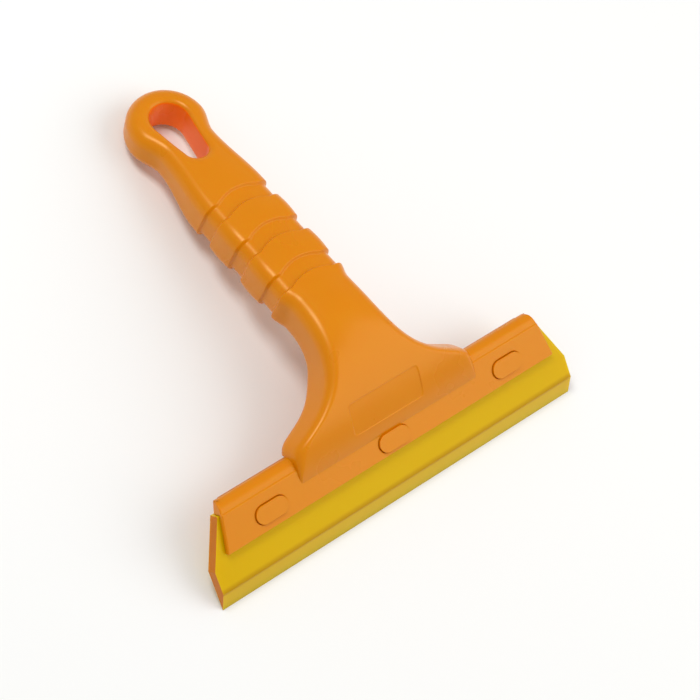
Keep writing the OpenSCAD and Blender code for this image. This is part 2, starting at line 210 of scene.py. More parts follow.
class Finishes(bpy.types.PropertyGroup):
    orange: colour("Orange", "Colour of the moulded handle", "#D97F00")
    orange_flow: colour("Orange flow", "Colour of the moulding's slightly paler flow", "#DD8502")
    # Painted glow: this colour stands in for the light that comes through the ring onto the hole's wall.
    orange_inside: colour("Orange inside", "Colour of the hole's wall, lit through the ring", "#FF8008")
    blade_yellow: colour("Blade yellow", "Colour of the cast blade", "#E0B600")
    blade_cloud: colour("Blade cloud", "Colour of the blade's slightly deeper clouds", "#DAB000")
    # Painted glow: this colour stands in for the light that leaves by the blade's cut ends.
    blade_end: colour("Cut ends", "Colour of the light that leaves by the blade's cut ends", "#CA7412")
    blade_shade: colour("Ridge shade", "Colour of the blade just above the bevel", "#C09000")
    floor_white: colour("Floor", "Colour of the floor", "#F6F6F4")


class StageSettings(bpy.types.PropertyGroup):
    camera_place: place("Camera", "Place of the camera", (-0.390036, -0.135551, 0.703266))
    camera_aim: place("Aim", "Point that the camera and the lights face", (0.006044, -0.030473, 0.014844))
    camera_roll: angle("Roll", "Turn of the camera about its line of sight", 42.404)
    lens: FloatProperty(name="Lens", description="Focal length", default=128.57, unit="CAMERA")
    sensor: FloatProperty(name="Sensor", description="Width of the sensor", default=36.0, unit="CAMERA")
    key_place: place("Key light", "Place of the key light", (-0.24, 0.42, 0.86))
    key_size: length("Key size", "Side of the square key light", 300)
    key_power: FloatProperty(name="Key power", description="Power of the key in watts", default=3.9)
    fill_place: place("Fill light", "Place of the fill light", (0.55, -0.48, 0.72))
    fill_size: length("Fill size", "Side of the square fill light", 950)
    fill_power: FloatProperty(name="Fill power", description="Power of the fill in watts", default=4.6)
    sky: FloatProperty(name="Sky", description="Strength of the even light all round", default=0.51)
    floor_half: length("Floor", "Half of the floor's side", 3000)


SIZE_GROUPS = {
    "squeegee_blade": BladeSizes, "squeegee_holder": HolderSizes, "squeegee_studs": StudSizes,
    "squeegee_flare": FlareSizes, "squeegee_grip": GripSizes, "squeegee_eye": EyeSizes,
    "squeegee_cover": CoverSizes,
}
GROUPS = {**SIZE_GROUPS, "squeegee_finishes": Finishes, "squeegee_stage": StageSettings}


def sizes():
    """Every size in millimetres and radians, with the places that follow from them."""
    z = SimpleNamespace()
    for name in SIZE_GROUPS:
        group = getattr(bpy.context.scene, name)
        for p in group.bl_rna.properties:
            if p.type in ("FLOAT", "INT"):
                scale = 1 / MM if p.unit == "LENGTH" else 1
                setattr(z, p.identifier, getattr(group, p.identifier) * scale)
    add_holder_places(z)
    add_handle_places(z)
    add_rest(z)
    return z


def add_holder_places(z):
    """Heights up the blade (s) and distances out of its front (n) in the holder."""
    z.holder_t = z.jaw_wall + z.blade_t + z.clamp_gap + z.clamp_wall
    z.roll_r = z.holder_t / 2
    z.roll_n = z.jaw_wall - z.roll_r
    z.blade_top = z.blade_h + z.clamp_gap
    z.cap_top = z.blade_top + z.cap_wall
    z.roll_s = z.cap_top - z.roll_r
    # The cap is split three quarters of the way through the blade.
    z.seam_n = -0.75 * z.blade_t
    z.clamp_face_n = -z.blade_t - z.clamp_gap
    z.clamp_back_n = z.jaw_wall - z.holder_t
    z.foot_s = z.blade_reach + z.foot_rise
    z.stud_s = z.blade_reach + z.stud_rise


def add_handle_places(z):
    """The arch's centre, the grip's start, and lengths along the front from the flare's foot."""
    z.grip_start = z.arch_r * (z.flare_rise + z.bend)
    z.arch_s = z.foot_s + z.arch_r * math.sin(z.flare_rise)
    z.arch_n = z.jaw_wall - z.arch_r * math.cos(z.flare_rise)
    z.grip_s = z.arch_s + z.arch_r * math.sin(z.bend)
    z.grip_n = z.arch_n + z.arch_r * math.cos(z.bend)
    z.eye_l = z.handle_l - z.eye_r
    z.waist_at = z.eye_l - z.waist_l
    z.first_groove = z.eye_l - z.groove_start
    z.groove_lows = [z.first_groove - i * z.groove_pitch - z.groove_w for i in range(z.groove_count)]
    z.grip_low = z.groove_lows[-1]
    z.back_rise = z.first_groove + z.straight_back
    z.cut_l = z.eye_l - z.hole_l - z.hole_narrow_r - z.eye_join
    z.cover_mid = z.back_rise - z.cover_l / 2


def add_rest(z):
    """Rest: the floor touches the wiping edge and the back of the eye's rounded end."""
    edge = z.handle_l - z.eye_edge_r - z.grip_start
    c, s = math.cos(z.bend), math.sin(z.bend)
    edge_s = z.grip_s + edge * c + (z.eye_edge_r - z.eye_t) * s
    edge_n = z.grip_n - edge * s + (z.eye_edge_r - z.eye_t) * c
    reach = math.hypot(edge_s, edge_n + z.blade_t)
    z.rest_angle = math.asin(z.eye_edge_r / reach) - math.atan2(edge_n + z.blade_t, edge_s)
    z.rest_z = z.blade_t * math.cos(z.rest_angle)
    top_s = edge_s + (z.eye_t - 2 * z.eye_edge_r) * s
    top_n = edge_n + (z.eye_t - 2 * z.eye_edge_r) * c
    tip_y = top_s * math.cos(z.rest_angle) - top_n * math.sin(z.rest_angle) + z.eye_edge_r
    z.rest_y = -(z.blade_t * math.sin(z.rest_angle) + tip_y) / 2


# ---------------------------------------------------------------- curves and surfaces

def ease(t, t0, t1, a, b):
    """Half a cosine wave from a to b as t goes from t0 to t1, level at both ends."""
    k = np.clip((np.asarray(t, float) - t0) / (t1 - t0), 0, 1)
    return a + (b - a) * (1 - np.cos(np.pi * k)) / 2


def to_row(z, points):
    """Blade frame (x, up the blade, out of its front) in mm to the object's resting place in m:
    a turn by the rest angle and a shift."""
    x, s, n = np.moveaxis(np.asarray(points, float), -1, 0)
    c, d = math.cos(z.rest_angle), math.sin(z.rest_angle)
    return np.stack([x, z.rest_y + s * c - n * d, z.rest_z + s * d + n * c], -1) * MM


def along_handle(z, x, l, depth):
    """Blade-frame points at width x, at length l along the front line, which is an arch and then a
    straight, and at a depth along its normal."""
    turn = np.where(l >= z.grip_start, -z.bend, z.flare_rise - l / z.arch_r)
    on = np.maximum(l - z.grip_start, 0)
    s = z.arch_s - z.arch_r * np.sin(turn) + on * math.cos(z.bend)
    n = z.arch_n + z.arch_r * np.cos(turn) - on * math.sin(z.bend)
    return np.stack([x + 0 * l, s - depth * np.sin(turn), n + depth * np.cos(turn)], -1)


def half_width(z, l):
    """Half width: straight shoulders, an exponential fade to the neck, then half-cosine steps to the
    grip, the waist and the eye."""
    past = z.shoulder_blend * np.logaddexp(0, (l - z.shoulder_l) / z.shoulder_blend)
    low = z.neck_w / 2 + (z.flare_half_w - z.neck_w / 2) * np.exp(-past / z.flare_fade)
    low = low + ease(l, z.grip_low - z.grip_blend, z.grip_low, 0, (z.grip_w - z.neck_w) / 2)
    grip = ease(l, z.first_groove, z.waist_at, z.grip_w / 2, z.waist_w / 2)
    eye = ease(l, z.waist_at, z.eye_l, z.waist_w / 2, z.eye_r)
    return np.where(l < z.first_groove, low, np.where(l < z.waist_at, grip, eye))


def thickness(z, l):
    """Thickness: the flare's, the grip's past the shoulders, then the eye's, each a half-cosine step."""
    low = ease(l, z.shoulder_l, z.shoulder_l + z.deepen_l, z.flare_t, z.grip_t)
    high = ease(l, z.back_rise, z.waist_at, z.grip_t, z.eye_t)
    return np.where(l < z.grip_low, low, high)


def front_radius(z, l):
    """Radius of the front edges: tight at the foot's corners, then the flare's, the grip's and the eye's."""
    low = ease(l, 0, z.grip_start, z.flare_edge_r, z.grip_front_r)
    low = low - ease(l, 0, z.foot_corner_l, z.flare_edge_r - z.foot_edge_r, 0)
    return ease(l, z.first_groove, z.eye_l, low, z.eye_edge_r)


def back_radius(z, l):
    """Radius of the back edges: the flare's, the grip's and the eye's, each a half-cosine step."""
    low = ease(l, 0, z.grip_start, z.flare_edge_r, z.grip_back_r)
    return ease(l, z.back_rise, z.eye_l, low, z.eye_edge_r)


def relief(z, l):
    """Height of the grip's surface over its plain section: half-cosine steps down into each groove,
    and a sine swell on each band between two."""
    out = np.zeros_like(l)
    for low in z.groove_lows:
        down = ease(l, low, low + z.groove_ramp, 0, 1)
        up = ease(l, low + z.groove_w - z.groove_ramp, low + z.groove_w, 1, 0)
        out -= z.groove_depth * down * up
    for low in z.groove_lows[1:]:
        k = np.clip((l - low - z.groove_w) / (z.groove_pitch - z.groove_w), 0, 1)
        out += z.band_swell * np.sin(np.pi * k)
    return out


def label_drop(z, x, l):
    """Drop of the label panel: a rounded rectangle with a soft step at its edge, and a parabola under
    the arch that makes its floor nearly flat."""
    r = z.label_corner_r
    a, b = np.abs(x) - (z.label_w / 2 - r), np.abs(l - z.label_rise) - (z.label_h / 2 - r)
    outside = np.hypot(np.maximum(a, 0), np.maximum(b, 0)) + np.minimum(np.maximum(a, b), 0) - r
    rise = z.label_flatness * z.label_h ** 2 / 8 / z.arch_r
    over = rise * np.clip(1 - (2 * (l - z.label_rise) / z.label_h) ** 2, 0, 1)
    return (z.label_depth + over) * ease(outside, -LABEL_STEP, LABEL_STEP, 1, 0)


def clustered(start, end, steps):
    """Even stations from start to end, with a tight cluster about each step, its gaps growing outwards."""
    clusters = [step + STEP_SPREAD * STEP_OFFSETS for step in steps]
    every = np.concatenate([np.arange(start, end, STATION_STEP), [end], *clusters])
    return apart(np.unique(np.round(every[(every >= start) & (every <= end)], 3)), CLOSEST)


def apart(stations, least):
    """Rising stations, less those that follow the one before by less than a distance."""
    return stations[np.concatenate([[True], np.diff(stations) > least])]


def grid_faces(rows, columns, wrap=False, first=0):
    """Quads of a grid of vertices numbered row by row from first; wrap closes each row into a ring."""
    i, j = np.meshgrid(np.arange(rows - 1), np.arange(columns if wrap else columns - 1), indexing="ij")
    k = (j + 1) % columns
    low, high = i * columns, (i + 1) * columns
    return first + np.stack([low + j, low + k, high + k, high + j], -1).reshape(-1, 4)


class Shell:
    """Collects grids and polygons into one closed mesh."""

    def __init__(self):
        self.points, self.faces, self.count = [], [], 0

    def grid(self, points, wrap=False):
        """Adds a grid of points as quads."""
        rows, columns = points.shape[:2]
        self.faces += grid_faces(rows, columns, wrap, self.count).tolist()
        self.points.append(points.reshape(-1, 3))
        self.count += rows * columns

    def polygon(self, points):
        """Adds one flat face."""
        self.faces.append(list(range(self.count, self.count + len(points))))
        self.points.append(np.asarray(points, float))
        self.count += len(points)

    def piece(self, name, z):
        """A mesh object at its resting place, its doubles merged and its faces turned outwards."""
        mesh = bpy.data.meshes.new(name)
        mesh.from_pydata(to_row(z, np.concatenate(self.points)), [], self.faces)
        bm = bmesh.new()
        bm.from_mesh(mesh)
        bmesh.ops.remove_doubles(bm, verts=bm.verts, dist=MERGE * MM)
        bmesh.ops.dissolve_degenerate(bm, edges=bm.edges, dist=MERGE / 4 * MM)
        bmesh.ops.recalc_face_normals(bm, faces=bm.faces)
        open_edges = sum(not e.is_manifold for e in bm.edges)
        bm.to_mesh(mesh)
        bm.free()
        if open_edges:
            raise RuntimeError(f"{name} has {open_edges} open edges")
        piece = bpy.data.objects.new(name, mesh)
        bpy.context.scene.collection.objects.link(piece)
        return piece


# ---------------------------------------------------------------- handle

def ring_layout():
    """A half ring from one side to the other, as the cosines and sines of its corner arcs and the
    fractions of the half width that its points stand at."""
    turn = np.radians(np.linspace(0, 90, ARC_POINTS))
    # One point near the corner, then points about the middle of the half width.
    inner = np.concatenate([[0.97], 0.5 + LABEL_OFFSETS, 0.5 - LABEL_OFFSETS[::-1]])
    corner = np.ones(ARC_POINTS)
    fraction = np.concatenate([corner, inner, [0], -inner[::-1], -corner])
    middle = len(inner) * 2 + 1
    cosine = np.concatenate([np.cos(turn), np.zeros(middle), -np.cos(turn[::-1])])
    sine = np.concatenate([np.sin(turn), np.ones(middle), np.sin(turn[::-1])])
    return cosine, sine, fraction


def groove_shift(z, at, fraction):
    """How far the front's points move along the grip, so that the grooves bow: a parabola across the
    front, 0 where the fraction squared is 0.45, which comes in over the 8 mm below the grip and fades
    out towards the eye."""
    above = ease(at, z.first_groove + 1.5, z.cut_l, 1, 0)
    below = ease(at, z.grip_low - 9, z.grip_low - 1, 0, 1)
    return z.groove_bow * (0.45 - fraction ** 2) * above * below


def front_half(z, at):
    """Front half of each ring at the stations: x = core + r cos, and
    depth = top - crown (core / its limit)^2 - r (1 - sin) - label."""
    cosine, sine, fraction = ring_layout()
    at = at[:, None]
    l = at + groove_shift(z, at, fraction)
    lift = relief(z, at) - z.skin
    w, r = half_width(z, l) + lift, front_radius(z, l)
    # Over the flare the points halfway out stand at the label's side edge. From 1 mm above the label to
    # 16 mm before the grip they ease over to an even spread.
    edge = z.label_w / 2
    across = np.abs(fraction)
    fixed = np.where(across < 0.5, across / 0.5 * edge, edge + (across - 0.5) / 0.5 * (w - r - edge))
    share = ease(l, z.label_rise + z.label_h / 2 + 1, z.grip_start - 16, 1, 0)
    core = np.sign(fraction) * (share * fixed + (1 - share) * across * (w - r))
    x = core + r * cosine
    crown = ease(l, z.shoulder_l, z.grip_start, 0, z.crown)
    depth = lift - crown * (core / (w - r)) ** 2 - r * (1 - sine) - label_drop(z, x, l)
    return x, l, depth


def back_half(z, at):
    """Back half of each ring: the same form, from the left side to the right, with a flat back."""
    cosine, sine, _ = ring_layout()
    flat = np.linspace(1, -1, len(cosine) - 2 * (ARC_POINTS - 1))[1:-1]
    corner = np.ones(ARC_POINTS)
    fraction = np.concatenate([corner, flat, -corner])
    l = at[:, None] + 0 * fraction
    lift = relief(z, l) - z.skin
    w, r = half_width(z, l) + lift, back_radius(z, l)
    x = -(fraction * (w - r) + r * cosine)
    depth = -thickness(z, l) - lift + r * (1 - sine)
    return x, l, depth


def handle_rings(z):
    """Closed rings along the flare, neck and grip: front half, left side, back half, right side."""
    label_ends = [z.label_rise - z.label_h / 2, z.label_rise + z.label_h / 2]
    at = clustered(-FOOT_SINK, z.cut_l, label_ends + [z.shoulder_l])
    margin, wall_points = 0.15, 12
    for low in z.groove_lows:
        high = low + z.groove_w
        at = np.union1d(at, np.linspace(low - margin, low + z.groove_ramp + margin, wall_points))
        at = np.union1d(at, np.linspace(high - z.groove_ramp - margin, high + margin, wall_points))
    at = apart(at, CLOSEST)
    at[-1] = z.cut_l
    front = along_handle(z, *front_half(z, at))
    back = along_handle(z, *back_half(z, at))
    down = SIDE_SHARES[1:-1]
    left = np.stack([front[:, -1] * (1 - t) + back[:, 0] * t for t in down], 1)
    right = np.stack([back[:, -1] * (1 - t) + front[:, 0] * t for t in down], 1)
    return np.concatenate([front, left, back, right], 1)


def nearest_on_hole(z, x, l):
    """Nearest point of the hole's outline, which is two circles and the two lines that touch both."""
    rise = (z.hole_r - z.hole_narrow_r) / z.hole_l
    side = np.array([math.sqrt(1 - rise * rise), -rise])
    up = np.array([rise, math.sqrt(1 - rise * rise)])
    p = np.stack([np.abs(x), l - z.eye_l], -1)
    q = p + [0, z.hole_l]
    wide = p * (z.hole_r / np.linalg.norm(p, axis=-1))[..., None]
    narrow = q * (z.hole_narrow_r / np.linalg.norm(q, axis=-1))[..., None] - [0, z.hole_l]
    flank = p - side * (p @ side - z.hole_r)[..., None]
    near = np.where((p @ up >= 0)[..., None], wide, np.where((q @ up <= 0)[..., None], narrow, flank))
    return np.where(x < 0, -near[..., 0], near[..., 0]), near[..., 1] + z.eye_l


def eye_height(z, x, l, radius):
    """Distance in from the eye's outline, and how far a rounded edge of that radius has fallen there."""
    out = np.hypot(x, np.maximum(l - z.eye_l, 0))
    inside = np.where(l > z.eye_l, z.eye_r, half_width(z, np.minimum(l, z.eye_l))) - z.skin - out
    k = np.clip(1 - inside / radius, 0, 1)
    return inside, radius * (1 - np.sqrt(1 - k * k))


def eye_front(z, x, l):
    """Height of the eye's front: a parabolic crown less its rounded edge and the skin, as on the grip."""
    r = front_radius(z, l)
    inside, fall = eye_height(z, x, l, r)
    across = np.hypot(x, np.maximum(l - z.eye_l, 0))
    k = np.clip(across / np.maximum(across + inside - r, 0.1), 0, 1)
    return -z.skin - z.crown * k * k - fall


def eye_back(z, x, l):
    """Height of the eye's back: the thickness less its rounded edge and the skin."""
    return z.skin - thickness(z, l) + eye_height(z, x, l, back_radius(z, l))[1]


def lip(z, from_hole):
    """Drop of the lip at a distance from the hole: part of an ellipse, steep at the hole and level at
    the lip's width. It stops at 0.93 of the ellipse, short of its vertical end."""
    k = 0.93 * np.clip(1 - from_hole / z.lip_w, 0, 1)
    return z.lip_h * (1 - np.sqrt(1 - k * k))


def eye_outline(z):
    """Outer outline of the eye in plan: up the left side, round the end and down the right side."""
    climb = np.linspace(z.cut_l, z.eye_l, 40)[1:]
    round_end = np.radians(np.linspace(180, 0, 81))[1:-1]
    side, end_r = half_width(z, climb) - z.skin, z.eye_r - z.skin
    x = np.concatenate([-side, end_r * np.cos(round_end), side[::-1]])
    l = np.concatenate([climb, z.eye_l + end_r * np.sin(round_end), climb[::-1]])
    return x, l


def eye_surfaces(z, shell):
    """The eye: straight rays in plan from the hole's outline to the outer outline or the join with the
    grip. A point at share t of a ray has t = (1 - cos) / 2, and its height is the crowned face less
    its edge rounding and its lip."""
    end = np.array([z.cut_l])
    joins = front_half(z, end)[0][0], back_half(z, end)[0][0][::-1]
    ox, ol = eye_outline(z)
    t = ((1 - np.cos(np.linspace(0, np.pi, 44))) / 2)[:, None]
    rims = []
    for join_x, height, sign in zip(joins, (eye_front, eye_back), (-1, 1)):
        x1 = np.concatenate([join_x, ox])
        l1 = np.concatenate([np.full(len(join_x), z.cut_l), ol])
        x0, l0 = nearest_on_hole(z, x1, l1)
        x, l = x0 + (x1 - x0) * t, l0 + (l1 - l0) * t
        depth = height(z, x, l) + sign * lip(z, np.hypot(x - x0, l - l0))
        surface = along_handle(z, x, l, depth)
        shell.grid(surface, wrap=True)
        rims.append(surface)
    front, back = rims
    # The hole's wall, and then the outer side, whose points match those of the grip's sides.
    down = np.linspace(0, 1, 12)[:, None, None]
    shell.grid(front[0] * (1 - down) + back[0] * down, wrap=True)
    outer = np.concatenate([np.arange(len(joins[0]) - 1, front.shape[1]), [0]])
    down = SIDE_SHARES[:, None, None]
    shell.grid(front[-1][outer] * (1 - down) + back[-1][outer] * down)


# ---------------------------------------------------------------- prisms and cuts

def prism(z, name, outline, low, high, put=None):
    """A plane outline (x, y) carried from low to high along z, in the blade frame or put from another."""
    outline = np.asarray(outline, float)
    rings = np.stack([np.c_[outline, np.full(len(outline), level)] for level in (low, high)])
    if put is not None:
        rings = put(rings)
    shell = Shell()
    shell.grid(rings, wrap=True)
    shell.polygon(rings[0][::-1])
    shell.polygon(rings[1])
    return shell.piece(name, z)


def block(z, name, s0, s1, n0, n1):
    """A box right across the tool, from s0 to s1 up the blade and n0 to n1 out of it."""
    return prism(z, name, [(-FAR, s0), (FAR, s0), (FAR, s1), (-FAR, s1)], n0, n1)


def rounded_box(w, l, r, cx=0.0, cy=0.0, steps=12):
    """Outline of a rectangle with corner radius r about (cx, cy), as quarter circles and straight sides."""
    quarter = np.radians(np.linspace(0, 90, steps + 1))
    parts = []
    for turn, sx, sy in ((0, 1, 1), (90, -1, 1), (180, -1, -1), (270, 1, -1)):
        a = quarter + math.radians(turn)
        parts.append(np.c_[cx + sx * (w / 2 - r) + r * np.cos(a), cy + sy * (l / 2 - r) + r * np.sin(a)])
    every = np.concatenate(parts)
    # Where a side has no length, two corners share a point.
    keep = np.linalg.norm(every - np.roll(every, 1, 0), axis=1) > 1e-4
    return every[keep]


def in_handle(z):
    """Handle frame (x, along the grip, out of its front) to the blade frame: a turn and a shift."""
    c, s = math.cos(z.bend), math.sin(z.bend)
    return lambda p: np.stack([p[..., 0], z.grip_s + p[..., 1] * c + p[..., 2] * s,
                               z.grip_n - p[..., 1] * s + p[..., 2] * c], -1)


def combine(piece, others, operation):
    """Adds the others to the piece, or cuts them from it, and keeps the result as its mesh."""
    for other in others:
        step = piece.modifiers.new("join", "BOOLEAN")
        step.object, step.operation, step.solver = other, operation, "EXACT"
    bpy.context.view_layer.update()
    made = bpy.data.meshes.new_from_object(piece.evaluated_get(bpy.context.evaluated_depsgraph_get()))
    piece.modifiers.clear()
    piece.data = made
    for other in others:
        bpy.data.objects.remove(other)
    if not len(made.polygons):
        raise RuntimeError(f"{piece.name} is empty")


def smooth(piece, sharp_degrees):
    """Shades a piece smooth, with edges sharper than an angle kept sharp."""
    piece.data.polygons.foreach_set("use_smooth", np.ones(len(piece.data.polygons), bool))
    piece.data.set_sharp_from_angle(angle=math.radians(sharp_degrees))


def soften(piece, radius, segments=3, turn=30, limited=True):
    """Rounds the edges of a piece that turn by more than an angle in degrees, less where its points lie
    close if it is limited."""
    bevel = piece.modifiers.new("rounded edges", "BEVEL")
    bevel.width, bevel.segments, bevel.limit_method = radius * MM, segments, "ANGLE"
    bevel.angle_limit, bevel.harden_normals = math.radians(turn), True
    bevel.use_clamp_overlap = limited
    smooth(piece, 60)


def mark_faces(piece, name, marked):
    """Face attribute that is 1 on the marked faces and 0 elsewhere."""
    mark = piece.data.attributes.new(name, "FLOAT", "FACE")
    mark.data.foreach_set("value", marked.astype(float))


def face_vectors(piece, name):
    """One vector of each face, such as its centre or its normal, as rows of an array."""
    out = np.empty(len(piece.data.polygons) * 3)
    piece.data.polygons.foreach_get(name, out)
    return out.reshape(-1, 3)


def mark_hole_wall(z, piece):
    """Marks the hanging hole's wall, which takes a painted glow: faces whose centre, in plan on the grip, is
    within 0.05 mm of the hole's outline."""
    centres = face_vectors(piece, "center") / MM
    c, d = math.cos(z.rest_angle), math.sin(z.rest_angle)
    y, h = centres[:, 1] - z.rest_y, centres[:, 2] - z.rest_z
    s, n = y * c + h * d - z.grip_s, h * c - y * d - z.grip_n
    l = z.grip_start + s * math.cos(z.bend) - n * math.sin(z.bend)
    near_x, near_l = nearest_on_hole(z, centres[:, 0], l)
    off = np.hypot(centres[:, 0] - near_x, l - near_l)
    mark_faces(piece, "lit_through", (off < 0.05) & (l > z.cut_l))


def finish_piece(piece, body, node, material):
    """Gives a piece its material, the body that it rides on and the node that it stands for."""
    piece.data.materials.clear()
    piece.data.materials.append(material)
    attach(piece, body)
    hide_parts(node)


# ---------------------------------------------------------------- materials

def add_node(tree, kind, values=None, links=None, **settings):
    """Adds one node, with its settings, its socket values and its incoming links."""
    node = tree.nodes.new(kind)
    for key, value in settings.items():
        setattr(node, key, value)
    for key, value in (values or {}).items():
        node.inputs[key].default_value = value
    for key, source in (links or {}).items():
        tree.links.new(source, node.inputs[key])
    return node


def new_material(name):
    """An empty material and its node tree."""
    material = bpy.data.materials.new(name)
    material.use_nodes = True
    material.node_tree.nodes.clear()
    return material, material.node_tree


def moulded_polypropylene():
    """Injection-moulded orange polypropylene: a satin skin with a faint grain, slightly paler flow, and
    light that soaks in a little and comes back redder, which keeps its shaded sides warm."""
    if "moulded_orange_polypropylene" in bpy.data.materials:
        return bpy.data.materials["moulded_orange_polypropylene"]
    f = bpy.context.scene.squeegee_finishes
    material, tree = new_material("moulded_orange_polypropylene")
    here = add_node(tree, "ShaderNodeTexCoord").outputs["Object"]
    # Flow clouds about 18 mm across, as the melt leaves them.
    flow = add_node(tree, "ShaderNodeTexNoise", {"Scale": 1 / 0.018, "Detail": 3.0, "Roughness": 0.5},
                    {"Vector": here})
    tint = add_node(tree, "ShaderNodeMix", {"A": f.orange, "B": f.orange_flow},
                    {"Factor": flow.outputs["Fac"]}, data_type="RGBA")
    # Painted glow: the hole's wall is painted a redder orange, to stand in for the light that comes through
    # the thin ring.
    wall = add_node(tree, "ShaderNodeAttribute", attribute_name="lit_through")
    glow = add_node(tree, "ShaderNodeMix", {"B": f.orange_inside},
                    {"Factor": wall.outputs["Fac"], "A": tint.outputs["Result"]}, data_type="RGBA")
    # Skin grain about 0.5 mm across: a real one is half that, and is drawn coarser so that it shows.
    grain = add_node(tree, "ShaderNodeTexNoise", {"Scale": 1 / 0.0005, "Detail": 2.0, "Roughness": 0.6},
                     {"Vector": here})
    polish = add_node(tree, "ShaderNodeMapRange", {"To Min": 0.24, "To Max": 0.33},
                      {"Value": flow.outputs["Fac"]})
    bump = add_node(tree, "ShaderNodeBump", {"Strength": 0.10, "Distance": 0.00006},
                    {"Height": grain.outputs["Fac"]})
    skin = add_node(tree, "ShaderNodeBsdfPrincipled",
                    {"IOR": 1.49, "Specular IOR Level": 0.5, "Specular Tint": (1.0, 0.74, 0.38, 1.0),
                     "Subsurface Weight": 0.2, "Subsurface Radius": (1.0, 0.3, 0.05),
                     "Subsurface Scale": 0.003},
                    {"Base Color": glow.outputs["Result"], "Roughness": polish.outputs["Result"],
                     "Normal": bump.outputs["Normal"]})
    add_node(tree, "ShaderNodeOutputMaterial", links={"Surface": skin.outputs["BSDF"]})
    return material


def ridge_shade(z, tree, here):
    """Share of a soft shade just above the bevel: it rises over 0.9 mm below the ridge and fades over
    2.2 mm above it, along the height up the sheet from its wiping edge."""
    up = Vector((0, math.cos(z.rest_angle), math.sin(z.rest_angle)))
    edge = up.dot(Vector((0, z.rest_y, z.rest_z))) * MM
    ridge = edge + z.bevel_h * MM
    height = add_node(tree, "ShaderNodeVectorMath", {1: up}, {0: here}, operation="DOT_PRODUCT")
    above = add_node(tree, "ShaderNodeMapRange", {"From Min": ridge + 2.2 * MM, "From Max": ridge},
                     {"Value": height.outputs["Value"]}, interpolation_type="SMOOTHSTEP")
    below = add_node(tree, "ShaderNodeMapRange", {"From Min": ridge - 0.9 * MM, "From Max": ridge},
                     {"Value": height.outputs["Value"]}, interpolation_type="SMOOTHSTEP")
    both = add_node(tree, "ShaderNodeMath", operation="MULTIPLY",
                    links={0: above.outputs["Result"], 1: below.outputs["Result"]})
    return both.outputs["Value"]


def cast_polyurethane(z):
    """Cast polyurethane sheet: amber yellow, glossy and cloudy, so light enters its face, glows inside
    and leaves by its edges. The glow at its cut ends is a painted one."""
    f = bpy.context.scene.squeegee_finishes
    material, tree = new_material("cast_amber_polyurethane")
    here = add_node(tree, "ShaderNodeTexCoord").outputs["Object"]
    # Clouds about 25 mm across, drawn long along the blade as the sheet was cast.
    stretch = add_node(tree, "ShaderNodeMapping", {"Scale": (0.35, 1.0, 1.0)}, {"Vector": here})
    cloud = add_node(tree, "ShaderNodeTexNoise", {"Scale": 1 / 0.025, "Detail": 2.0, "Roughness": 0.5},
                     {"Vector": stretch.outputs["Vector"]})
    tint = add_node(tree, "ShaderNodeMix", {"A": f.blade_yellow, "B": f.blade_cloud},
                    {"Factor": cloud.outputs["Fac"]}, data_type="RGBA")
    # Light leaves by the bevel, so the sheet is darker just above it.
    shaded = add_node(tree, "ShaderNodeMix", {"B": f.blade_shade},
                      {"Factor": ridge_shade(z, tree, here), "A": tint.outputs["Result"]},
                      data_type="RGBA")
    # Painted glow: the cut ends are tinted with the colour of the light that leaves by them.
    ends = add_node(tree, "ShaderNodeAttribute", attribute_name="cut_end")
    whole = add_node(tree, "ShaderNodeMix", {"B": f.blade_end},
                     {"Factor": ends.outputs["Fac"], "A": shaded.outputs["Result"]}, data_type="RGBA")
    polish = add_node(tree, "ShaderNodeMapRange", {"To Min": 0.2, "To Max": 0.3},
                      {"Value": cloud.outputs["Fac"]})
    # Cutting and casting marks about 0.8 mm apart.
    marks = add_node(tree, "ShaderNodeTexNoise", {"Scale": 1 / 0.0008, "Detail": 2.0},
                     {"Vector": stretch.outputs["Vector"]})
    bump = add_node(tree, "ShaderNodeBump", {"Strength": 0.05, "Distance": 0.00005},
                    {"Height": marks.outputs["Fac"]})
    sheet = add_node(tree, "ShaderNodeBsdfPrincipled",
                     {"IOR": 1.5, "Specular IOR Level": 0.15, "Specular Tint": (1.0, 0.85, 0.4, 1.0),
                      "Subsurface Weight": 0.5, "Subsurface Radius": (1.0, 0.7, 0.12),
                      "Subsurface Scale": 0.004, "Transmission Weight": 0.06},
                     {"Base Color": whole.outputs["Result"], "Roughness": polish.outputs["Result"],
                      "Normal": bump.outputs["Normal"]})
    add_node(tree, "ShaderNodeOutputMaterial", links={"Surface": sheet.outputs["BSDF"]})
    return material


def painted_floor():
    """White painted board: matt and pale, with a fine roller grain about 2 mm across."""
    f = bpy.context.scene.squeegee_finishes
    material, tree = new_material("matt_white_board")
    here = add_node(tree, "ShaderNodeTexCoord").outputs["Object"]
    grain = add_node(tree, "ShaderNodeTexNoise", {"Scale": 1 / 0.002, "Detail": 2.0}, {"Vector": here})
    bump = add_node(tree, "ShaderNodeBump", {"Strength": 0.02, "Distance": 0.00005},
                    {"Height": grain.outputs["Fac"]})
    board = add_node(tree, "ShaderNodeBsdfPrincipled", {"Base Color": f.floor_white, "Roughness": 0.9},
                     {"Normal": bump.outputs["Normal"]})
    add_node(tree, "ShaderNodeOutputMaterial", links={"Surface": board.outputs["BSDF"]})
    return material


# ---------------------------------------------------------------- holder and cover shapes

def seam_turn(z, seam):
    """Angle round the cap, in degrees from its front, at which it reaches a seam."""
    return math.degrees(math.acos((seam - z.roll_n) / z.roll_r))


def cap_profile(z, start_turn, end_turn, crease):
    """Points of the cap from one angle to another about the roll's centre, drawn in by crease cos^2."""
    a = np.radians(np.linspace(start_turn, end_turn, 25))
    return np.c_[z.roll_s + z.roll_r * np.sin(a), z.roll_n + z.roll_r * np.cos(a) - crease * np.cos(a) ** 2]


